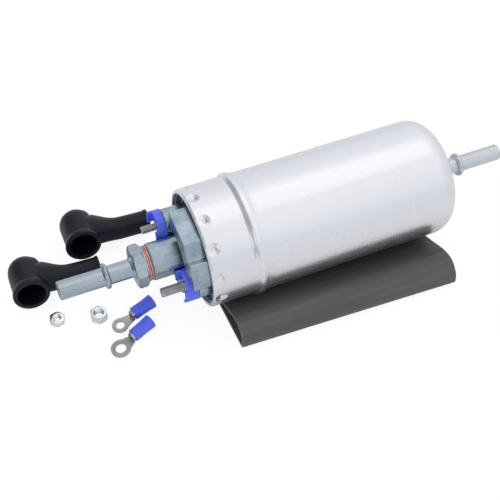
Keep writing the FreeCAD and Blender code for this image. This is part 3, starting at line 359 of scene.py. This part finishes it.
def ranged(material, value, low, high):
    """A noise value spread between two limits."""
    node = material.node_tree.nodes.new("ShaderNodeMapRange")
    node.inputs["From Min"].default_value = 0.3
    node.inputs["From Max"].default_value = 0.7
    node.inputs["To Min"].default_value = low
    node.inputs["To Max"].default_value = high
    link(material, value, node.inputs["Value"])
    return node.outputs["Result"]


def ramped(material, value, colours):
    """A noise value turned into a run of colours."""
    node = material.node_tree.nodes.new("ShaderNodeValToRGB")
    ramp = node.color_ramp
    first, last = 0.3, 0.7
    ramp.elements[0].position = first
    ramp.elements[0].color = (*colours[0], 1.0)
    ramp.elements[1].position = last
    ramp.elements[1].color = (*colours[-1], 1.0)
    for k, colour in enumerate(colours[1:-1], 1):
        element = ramp.elements.new(first + (last - first) * k / (len(colours) - 1))
        element.color = (*colour, 1.0)
    link(material, value, node.inputs["Fac"])
    return node.outputs["Color"]


def bumped(material, value, depth, normal=None):
    """Surface relief of that depth in millimetres, over any relief already made."""
    node = material.node_tree.nodes.new("ShaderNodeBump")
    node.inputs["Strength"].default_value = 1.0
    node.inputs["Distance"].default_value = depth * MM
    link(material, value, node.inputs["Height"])
    if normal:
        link(material, normal, node.inputs["Normal"])
    return node.outputs["Normal"]


def surface(name, colours, rough, metallic=0.0, mottle=3.0, stretch=(1.0, 1.0, 1.0),
            grain=0.25, grain_depth=0.01, dents=2.0, dent_depth=0.0, specular=0.5):
    """A surface with uneven colour and gloss, fine grain and, if asked, shallow dents."""
    material = bpy.data.materials.new(name)
    material.use_nodes = True
    shader = material.node_tree.nodes["Principled BSDF"]
    shader.inputs["Metallic"].default_value = metallic
    shader.inputs["Specular IOR Level"].default_value = specular
    vector = piece_coordinates(material, stretch)
    patches = noise_value(material, vector, mottle)
    link(material, ramped(material, patches, colours), shader.inputs["Base Color"])
    fine = noise_value(material, vector, grain, 2.0)
    link(material, ranged(material, fine, rough[0], rough[1]), shader.inputs["Roughness"])
    relief = bumped(material, fine, grain_depth)
    if dent_depth:
        relief = bumped(material, noise_value(material, vector, dents), dent_depth, relief)
    link(material, relief, shader.inputs["Normal"])
    return material


def shades(colour, low=0.88, high=1.08):
    """A colour with a darker and a lighter version of it."""
    return [tuple(c * k for c in colour) for k in (low, 1.0, high)]


def make_materials():
    """Every finish by the name of its slot in the record."""
    made = {}
    made["can"] = surface("satin_can", shades((0.80, 0.81, 0.85), 0.98, 1.02), (0.24, 0.32), 1.0,
                          mottle=6.0, stretch=(0.05, 1.0, 1.0), grain=0.8, grain_depth=0.0008)
    made["zinc_cover"] = surface("cast_zinc", [(0.24, 0.32, 0.39), (0.32, 0.41, 0.48), (0.40, 0.48, 0.53),
                                               (0.35, 0.42, 0.52)], (0.22, 0.36), 1.0,
                                 mottle=9.0, grain=0.6, grain_depth=0.004, dents=4.0, dent_depth=0.03)
    made["tube_plating"] = surface("zinc_plating", [(0.34, 0.41, 0.47), (0.39, 0.46, 0.52),
                                                    (0.44, 0.49, 0.54)], (0.17, 0.27), 1.0,
                                   mottle=2.0, stretch=(0.07, 1.0, 1.0), grain=0.7, grain_depth=0.0008)
    made["inlet_plating"] = surface("tin_plated_tube", shades((0.60, 0.63, 0.67), 0.92, 1.05),
                                    (0.22, 0.34), 1.0, mottle=2.0, stretch=(0.07, 1.0, 1.0),
                                    grain=0.7, grain_depth=0.0008)
    made["copper"] = surface("copper", shades((0.80, 0.43, 0.36)), (0.2, 0.34), 1.0, grain_depth=0.003)
    made["steel"] = surface("turned_steel", shades((0.56, 0.57, 0.56)), (0.15, 0.26), 1.0,
                            grain_depth=0.002)
    made["spring_steel"] = surface("spring_steel", shades((0.50, 0.51, 0.53)), (0.25, 0.4), 1.0)
    made["gear_steel"] = surface("sintered_steel", shades((0.42, 0.43, 0.45)), (0.3, 0.5), 1.0,
                                 grain=0.15, grain_depth=0.01)
    made["lamination"] = surface("electrical_steel", shades((0.30, 0.31, 0.33)), (0.35, 0.5), 1.0,
                                 stretch=(2.0, 0.1, 0.1), grain=0.5)
    made["cast_plate"] = surface("machined_casting", shades((0.58, 0.59, 0.60)), (0.28, 0.42), 1.0,
                                 stretch=(1.0, 0.3, 0.3))
    made["nut_plating"] = surface("bright_zinc", shades((0.86, 0.91, 0.96), 0.94, 1.03), (0.16, 0.28), 1.0,
                                  mottle=1.2, grain=0.4, grain_depth=0.002)
    made["tin_plating"] = surface("tin_plating", shades((0.48, 0.50, 0.50)), (0.3, 0.44), 1.0,
                                  mottle=1.5, grain=0.4, grain_depth=0.003)
    made["brass"] = surface("brass", shades((0.74, 0.55, 0.24)), (0.2, 0.35), 1.0)
    made["bronze"] = surface("sintered_bronze", shades((0.58, 0.38, 0.18)), (0.35, 0.5), 1.0, grain=0.12)
    made["ferrite"] = surface("ferrite", shades((0.05, 0.05, 0.055)), (0.5, 0.65), grain_depth=0.01)
    made["carbon"] = surface("brush_carbon", shades((0.02, 0.02, 0.02)), (0.5, 0.7), grain=0.12)
    made["dark_plastic"] = surface("glass_filled_plastic", shades((0.03, 0.03, 0.034)), (0.4, 0.55),
                                   grain=0.2)
    made["white_plastic"] = surface("natural_plastic", shades((0.66, 0.62, 0.52)), (0.35, 0.45))
    made["blue_plastic"] = surface("blue_plastic", shades((0.095, 0.155, 0.90), 0.9, 1.06), (0.26, 0.38),
                                   mottle=2.5, grain=0.3, grain_depth=0.006, dents=1.6, dent_depth=0.02)
    made["rubber"] = surface("black_rubber", shades((0.014, 0.014, 0.015)), (0.5, 0.65))
    made["boot_rubber"] = surface("boot_rubber", shades((0.006, 0.008, 0.017), 0.8, 1.25), (0.34, 0.46),
                                  mottle=4.0, grain=0.4, grain_depth=0.006, dents=6.0, dent_depth=0.05,
                                  specular=0.25)
    made["sleeve_rubber"] = surface("sleeve_rubber", shades((0.084, 0.080, 0.080), 0.85, 1.2),
                                    (0.32, 0.44), mottle=3.0, stretch=(0.05, 1.0, 1.0), grain=0.5,
                                    grain_depth=0.01, dents=5.0, dent_depth=0.08)
    return made


# Can

def stake_offset(x, radius, turn):
    """The dent and the punched pit of each stake that locks the can on its cover."""
    if radius < CAN_R - SKIN_DEPTH or x > RIM_X + STAKE_ZONE:
        return 0.0
    step = 2 * math.pi / STAKE_COUNT
    from_stake = (turn - math.radians(STAKE_START_DEG) + step / 2) % step - step / 2
    along = x - RIM_X - STAKE_INSET
    across = from_stake * CAN_R
    distance = math.hypot(along, across)
    dent = -STAKE_DEPTH * math.exp(-(distance / STAKE_REACH) ** 4)
    past_dent = distance - STAKE_REACH - STAKE_LIP_OUT
    lip = STAKE_LIP_RISE * math.exp(-(past_dent / STAKE_LIP_WIDTH) ** 2)
    pit_distance = math.hypot(along - PIT_SHIFT, across)
    pit = -PIT_DEPTH * math.exp(-(pit_distance / PIT_R) ** 4)
    return dent + lip + pit


def can_step(x, radius):
    """Mesh step along the can: fine where the stakes are."""
    if radius > CAN_R - SKIN_DEPTH and x < RIM_X + FINE_ZONE:
        return FINE_STEP
    return COARSE_STEP


def make_can(material):
    """Deep-drawn can with a crimped lip, staked edge, rolled bead and rounded inlet end."""
    straight = CAN_END_X - CAN_CORNER
    flat_r = CAN_R - CAN_CORNER
    rise = BEAD_R - CAN_R
    bore = CAN_R - CAN_WALL
    arc = [math.radians(a) for a in range(90, -1, -10)]

    def corner(size, angles):
        return [(straight + size * math.cos(a), flat_r + size * math.sin(a)) for a in angles]

    outer = [
        (RIM_X, LIP_R),
        (RIM_X, CAN_R - RIM_EDGE),
        (RIM_X + RIM_EDGE, CAN_R),
        (BEAD_X - 2.6, CAN_R),
        (BEAD_X - 1.5, CAN_R + 0.55 * rise),
        (BEAD_X - 0.7, CAN_R + 0.95 * rise),
        (BEAD_X + 0.4, BEAD_R),
        (BEAD_X + 1.5, CAN_R + 0.86 * rise),
        (BEAD_X + 3.4, CAN_R + 0.36 * rise),
        (BEAD_X + 5.8, CAN_R),
    ]
    end = corner(CAN_CORNER, arc)
    inner_end = corner(CAN_CORNER - CAN_WALL, arc[::-1])
    hole = [
        (CAN_END_X, INLET_HOLE_R),
        (CAN_END_X - CAN_WALL, INLET_HOLE_R),
    ]
    inner = [
        (BEAD_X + 5.0, bore),
        (BEAD_X, bore + 0.8 * rise),
        (BEAD_X - 2.0, bore),
        (RIM_X + LIP_LENGTH, bore),
        (RIM_X + LIP_LENGTH, LIP_R),
    ]
    outline = stepped(rounded(outer + end + hole + inner_end + inner, EDGE_R, 3), can_step)
    can = lathed("can", outline, CAN_SIDES, stake_offset)
    return dressed(can, PUMP, material, "can", "housing_shell")


# Studs and nuts

def thread_wave(x, turn, pitch):
    """How deep the thread is there, from 0 on its crest to 1 in its root."""
    phase = (x / pitch - turn / (2 * math.pi)) % 1.0
    return min(1.0, max(0.0, 2.4 * abs(phase - 0.5) - 0.1))


def hex_radius(flats, turn):
    """Distance from the middle to a hexagon's side at an angle."""
    sixth = math.pi / 3
    from_flat = turn % sixth - sixth / 2
    return flats / 2 / math.cos(from_flat)


def make_stud(tag, side, thread, cup_floor, material):
    """Terminal stud with a real thread, a shouldered shank and a hex head inside the can."""
    node = "terminal_stud_" + tag
    stud_r, pitch, flats = thread
    low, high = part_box(node)
    tip = low.x / MM
    end = high.x / MM
    head = end - STUD_HEAD_LENGTH
    turn = math.radians(TERMINAL_DEG)
    centre = (side * TERMINAL_R * math.cos(turn), side * TERMINAL_R * math.sin(turn))
    step = pitch / ROWS_PER_TURN
    rows = int((cup_floor - tip) / step)
    rings = []

    def thread_radius(x, around):
        """The thread's radius, held down near the stud's point."""
        into_point = min(1.0, (x - tip) / POINT_LENGTH)
        limit = stud_r - POINT_DEPTH * (1 - into_point)
        return min(limit, stud_r - THREAD_DEPTH * thread_wave(x, around, pitch))

    for r in range(rows + 1):
        x = tip + r * step
        rings.append(turned_ring(x, lambda around: thread_radius(x, around), STUD_SIDES, centre))
    for x in (cup_floor, head):
        rings.append(turned_ring(x, lambda around: stud_r + SHOULDER_STEP, STUD_SIDES, centre))
    for x in (head, end):
        rings.append(turned_ring(x, lambda around: hex_radius(flats, around), STUD_SIDES, centre))
    stud = skinned(node + "_threaded", rings, capped=True)
    return dressed(stud, PUMP, material, "steel", node)


def make_nut(tag, thread, place, turn_deg, material):
    """Hex nut with chamfered corners and a threaded hole, lying flat."""
    node = "nut_" + tag
    stud_r, pitch, flats = thread
    low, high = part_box(node)
    height = (high.z - low.z) / MM
    face_r = flats / 2 - NUT_FACE_INSET
    turns = [2 * math.pi * k / NUT_SIDES for k in range(NUT_SIDES)]

    def bore_radius(z, turn):
        """The thread in the hole, fading out where the hole is countersunk."""
        lead = max(0.0, NUT_LEAD - min(z, height - z))
        depth = THREAD_DEPTH * (1 - thread_wave(z, turn, pitch))
        return stud_r + lead - depth * (1 if lead == 0 else THREAD_IN_LEAD)

    def chamfer(turn):
        """How far the chamfer reaches down the side at an angle."""
        return NUT_CONE * (hex_radius(flats, turn) - face_r) + NUT_CORNER_DROP

    rings = []
    bore_rows = int(height / (pitch / ROWS_PER_TURN))
    for r in range(bore_rows + 1):
        z = height * r / bore_rows
        rings.append([(z, bore_radius(z, t)) for t in turns])
    rings.append([(height, face_r) for t in turns])
    rings.append([(height - chamfer(t), hex_radius(flats, t)) for t in turns])
    rings.append([(chamfer(t), hex_radius(flats, t)) for t in turns])
    rings.append([(0.0, face_r) for t in turns])
    headings = [math.radians(turn_deg) - t for t in turns]
    placed = []
    for ring in rings:
        placed.append([(place[0] + r * math.cos(a), place[1] + r * math.sin(a), FLOOR_Z + z)
                       for (z, r), a in zip(ring, headings)])
    nut = skinned(node + "_threaded", placed, closed_run=True)
    return dressed(nut, "loose_" + node, material, "nut_plating", node)


# Sleeve

def curve_through(points, steps=8):
    """A smooth run of points through the given ones."""
    line = []
    last = len(points) - 1
    for k in range(last):
        p0 = Vector(points[max(k - 1, 0)])
        p1 = Vector(points[k])
        p2 = Vector(points[k + 1])
        p3 = Vector(points[min(k + 2, last)])
        for s in range(steps):
            t = s / steps
            line.append(0.5 * (2 * p1 + (p2 - p0) * t + (2 * p0 - 5 * p1 + 4 * p2 - p3) * t ** 2
                               + (3 * p1 - p0 - 3 * p2 + p3) * t ** 3))
    line.append(Vector(points[-1]))
    return line


def sleeve_outline():
    """The squashed tube's outside as closed (y, z) points, from the base's middle round the near fold."""
    edge = -SLEEVE_HALF_WIDTH
    top = SLEEVE_LOOP_HEIGHT
    near = curve_through([
        (edge + 3.9, 0.0),
        (edge + 0.9, 1.5),
        (edge, 5.0),
        (edge + 1.8, top - 3.8),
        (edge + 7.0, top),
        (edge + 14.5, top - 1.0),
        (edge + 24.0, 8.9),
        (edge + 33.0, 5.1),
        (0.0, 2 * SLEEVE_WALL),
    ])
    base = [Vector((edge * (k + 0.5) / 12, 0.0)) for k in range(11)]
    half = base + near
    mirrored = [Vector((-p.x, p.y)) for p in half[::-1] if p.x < -0.01]
    return half + mirrored


def make_sleeve(material):
    """Rubber isolating sleeve, squashed flat under the pump with a fold standing open along each side."""
    outer = sleeve_outline()
    wall = SLEEVE_WALL - SLEEVE_INNER_GAP
    inner = []
    for k, here in enumerate(outer):
        along = (outer[(k + 1) % len(outer)] - outer[k - 1]).normalized()
        inward = Vector((along.y, -along.x))
        inner.append(here + inward * wall)
    heading = math.radians(SLEEVE_TURN_DEG)
    cut = math.radians(SLEEVE_CUT_DEG)
    ahead = Vector((math.cos(heading), math.sin(heading)))
    aside = Vector((-math.sin(heading), math.cos(heading)))
    cut_normal = Vector((math.cos(cut), math.sin(cut)))

    def placed(point, row, depth):
        """A section point on a row along the sleeve, pressed down where the can lies on it."""
        reach = point.x * aside.dot(cut_normal)
        start = (-SLEEVE_LENGTH / 2 - reach) / ahead.dot(cut_normal)
        end = (SLEEVE_LENGTH / 2 - reach) / ahead.dot(cut_normal)
        s = start + (end - start) * row / SLEEVE_ROWS
        flat = ahead * s + aside * point.x
        x = SLEEVE_CENTRE[0] + flat.x
        y = SLEEVE_CENTRE[1] + flat.y
        drift = noise.noise(Vector((x * 0.02, y * 0.06, 7.0)))
        z = FLOOR_Z + point.y * (1 + SLEEVE_WAVE * drift)
        bead = math.exp(-((x - BEAD_X - 1.0) / 3.4) ** 4)
        can_r = CAN_R + SEAT_GAP + (BEAD_R - CAN_R) * bead
        if abs(y) < can_r:
            z = min(z, -math.sqrt(can_r ** 2 - y ** 2) - depth)
        return (x, y, max(z, FLOOR_Z + min(depth, point.y)))

    rings = []
    for row in range(SLEEVE_ROWS + 1):
        rings.append([placed(p, row, 0.0) for p in outer])
    for row in range(SLEEVE_ROWS, -1, -1):
        rings.append([placed(p, row, PRESSED_WALL) for p in inner])
    sleeve = skinned("sleeve_rubber_tube", rings, closed_run=True)
    return dressed(sleeve, SLEEVE, material, "sleeve_rubber", "isolating_sleeve")


# Boots

def make_boot(tag, place, material):
    """Moulded elbow boot with softened joins and the fine line where its mould closed."""
    node = "terminal_boot_" + tag
    boot = remeshed_copy("boot_" + tag + "_moulding", node, BOOT_VOXEL, BOOT_PASSES)
    floor_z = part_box(node)[0].z
    turn = Matrix.Rotation(math.radians(BOOT_TURN_DEG), 4, "Z")
    pitch = Matrix.Rotation(math.radians(-BOOT_PITCH_DEG), 4, "X")
    to_part = Matrix.Translation(Vector((place[0], place[1], 0.0)) * MM) @ turn
    to_part = to_part @ Matrix.Translation(Vector((0.0, -BOOT_ARM_Y, 0.0)) * MM) @ pitch
    to_boot = to_part.inverted()
    to_boot_turn = to_boot.to_3x3()
    fillet_way = to_part.to_3x3() @ Vector((0.0, 1.0, 0.0))
    levels = sorted((to_boot @ v.co).z for v in boot.data.vertices)
    middle = (levels[0] + levels[-1]) / 2
    normals = [v.normal.copy() for v in boot.data.vertices]
    for vertex, normal in zip(boot.data.vertices, normals):
        start = vertex.co.copy()
        in_boot = to_boot @ start
        ridge = math.exp(-((in_boot.z - middle) / MM / MOULD_LINE_WIDTH) ** 2)
        wander = noise.noise(start / MM * 0.12)
        outwards = MOULD_LINE_RISE * ridge + BOOT_WANDER * (wander - 1)
        along = in_boot.x / MM
        past_head = min(1.0, max(0.0, (along - FILLET_START) / FILLET_RAMP))
        fade = math.exp(-((along - FILLET_REACH) / FILLET_REACH) ** 2)
        back = max(0.0, (to_boot_turn @ normal).y)
        fillet = back * past_head * fade * BOOT_FILLET
        moved = start + (normal * outwards + fillet_way * fillet) * MM
        moved.z = max(moved.z, floor_z)
        vertex.co = moved
    return dressed(boot, "boot_" + tag, material, "boot_rubber", node)


# Studio

def mixed(tree, share, first, second):
    """Two shaders blended by a value."""
    mix = tree.nodes.new("ShaderNodeMixShader")
    tree.links.new(share, mix.inputs["Fac"])
    tree.links.new(first, mix.inputs[1])
    tree.links.new(second, mix.inputs[2])
    return mix.outputs["Shader"]


def spread(tree, value, start, end, low, high):
    """A value that goes from low at start to high at end."""
    node = tree.nodes.new("ShaderNodeMapRange")
    node.interpolation_type = "SMOOTHSTEP"
    node.inputs["From Min"].default_value = start
    node.inputs["From Max"].default_value = end
    node.inputs["To Min"].default_value = low
    node.inputs["To Max"].default_value = high
    tree.links.new(value, node.inputs["Value"])
    return node.outputs["Result"]


def reflected_studio(tree):
    """What shiny pieces mirror: white overhead, greyer walls and a darker side past the outlet."""
    way = tree.nodes.new("ShaderNodeTexCoord")
    split = tree.nodes.new("ShaderNodeSeparateXYZ")
    tree.links.new(way.outputs["Generated"], split.inputs["Vector"])
    height = spread(tree, split.outputs["Z"], *SKY_HEIGHTS, 0.0, 1.0)
    colour = tree.nodes.new("ShaderNodeMix")
    colour.data_type = "RGBA"
    colour.inputs["A"].default_value = (*LOW_SKY, 1.0)
    colour.inputs["B"].default_value = (*HIGH_SKY, 1.0)
    tree.links.new(height, colour.inputs["Factor"])
    studio = tree.nodes.new("ShaderNodeBackground")
    tree.links.new(colour.outputs["Result"], studio.inputs["Color"])
    side_level = spread(tree, split.outputs["X"], *OUTLET_SIDE_REACH, OUTLET_SIDE, 1.0)
    tree.links.new(side_level, studio.inputs["Strength"])
    return studio.outputs["Background"]


def make_world():
    """White where the camera sees it, with a plain soft level of light for everything else."""
    world = bpy.data.worlds.new("studio")
    bpy.context.scene.world = world
    world.use_nodes = True
    tree = world.node_tree
    light = tree.nodes["Background"]
    light.inputs["Color"].default_value = (1.0, 1.0, 1.0, 1.0)
    light.inputs["Strength"].default_value = AMBIENT
    seen = tree.nodes.new("ShaderNodeBackground")
    seen.inputs["Color"].default_value = (1.0, 1.0, 1.0, 1.0)
    seen.inputs["Strength"].default_value = 1.0
    path = tree.nodes.new("ShaderNodeLightPath")
    lit = mixed(tree, path.outputs["Is Glossy Ray"], light.outputs["Background"], reflected_studio(tree))
    shown = mixed(tree, path.outputs["Is Camera Ray"], lit, seen.outputs["Background"])
    tree.links.new(shown, tree.nodes["World Output"].inputs["Surface"])


def make_floor():
    """White table that keeps a faint shadow."""
    half = FLOOR_SIZE / 2 / MM
    level = FLOOR_Z - TABLE_DROP
    corners = [(-half, -half, level), (half, -half, level), (half, half, level), (-half, half, level)]
    floor = link_mesh("floor", corners, [(0, 1, 2, 3)])
    material = bpy.data.materials.new("white_table")
    material.use_nodes = True
    tree = material.node_tree
    shader = tree.nodes["Principled BSDF"]
    shader.inputs["Base Color"].default_value = (0.9, 0.9, 0.9, 1.0)
    shader.inputs["Roughness"].default_value = 0.9
    shader.inputs["Specular IOR Level"].default_value = 0.0
    glow = tree.nodes.new("ShaderNodeEmission")
    glow.inputs["Color"].default_value = (1.0, 1.0, 1.0, 1.0)
    glow.inputs["Strength"].default_value = TABLE_GLOW
    path = tree.nodes.new("ShaderNodeLightPath")
    share = spread(tree, path.outputs["Is Camera Ray"], 0.0, 1.0, 0.0, 1.0 - SHADOW_SHARE)
    shown = mixed(tree, share, shader.outputs["BSDF"], glow.outputs["Emission"])
    tree.links.new(shown, tree.nodes["Material Output"].inputs["Surface"])
    floor.data.materials.append(material)


def make_lamp(name, place, target, width, height, radiance):
    """A softbox of that brightness, pointed at a place."""
    lamp = bpy.data.lights.new(name, "AREA")
    lamp.shape = "RECTANGLE"
    lamp.size = width
    lamp.size_y = height
    lamp.energy = radiance * math.pi * width * height
    obj = bpy.data.objects.new(name, lamp)
    bpy.context.scene.collection.objects.link(obj)
    obj.location = place
    aim = Vector(target) - Vector(place)
    obj.rotation_euler = aim.to_track_quat("-Z", "Y").to_euler()


def make_camera():
    """The photograph's view of the part."""
    camera = bpy.data.objects.new("camera", bpy.data.cameras.new("camera"))
    bpy.context.scene.collection.objects.link(camera)
    camera.data.sensor_width = 36.0
    camera.data.lens = CAMERA_LENS
    camera.data.clip_start = 0.01
    camera.location = CAMERA_PLACE
    camera.rotation_euler = (CAMERA_TARGET - CAMERA_PLACE).to_track_quat("-Z", "Y").to_euler()
    bpy.context.scene.camera = camera


can_low, can_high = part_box("housing_shell")
RIM_X = can_low.x / MM
CAN_END_X = can_high.x / MM
BEAD_R = can_high.z / MM

make_camera()
make_world()
make_floor()
make_lamp("overhead_softbox", (-0.05, 0.12, 0.60), (-0.04, 0.0, 0.0), 0.9, 0.45, 0.2)
make_lamp("front_softbox", (-0.45, -0.55, 0.35), (-0.05, 0.0, 0.0), 0.4, 0.4, 0.7)

materials = make_materials()
for node in frame["record"]["subparts"]:
    shown = frame["nodes"][node["node"]]
    shown.data.materials.clear()
    shown.data.materials.append(materials[node["material_slot"]])

make_can(materials["can"])
make_stud("m4", 1, M4, CUP_FLOOR_M4, materials["steel"])
make_stud("m5", -1, M5, CUP_FLOOR_M5, materials["steel"])
make_nut("m4", M4, NUT_M4_PLACE, NUT_M4_TURN_DEG, materials["nut_plating"])
make_nut("m5", M5, NUT_M5_PLACE, NUT_M5_TURN_DEG, materials["nut_plating"])
make_sleeve(materials["sleeve_rubber"])
make_boot("m4", BOOT_M4_PLACE, materials["boot_rubber"])
make_boot("m5", BOOT_M5_PLACE, materials["boot_rubber"])
for piece, body, slot, finish, bevel in BEVELLED:
    dressed(bevelled_copy(piece + "_bevelled", piece, bevel), body, materials[finish], slot, piece)
for piece, body, slot, voxel, passes in SOFTENED:
    soft = remeshed_copy(piece + "_softened", piece, voxel, passes)
    dressed(soft, body, materials[slot], slot, piece)

bpy.context.scene.view_settings.view_transform = "Standard"
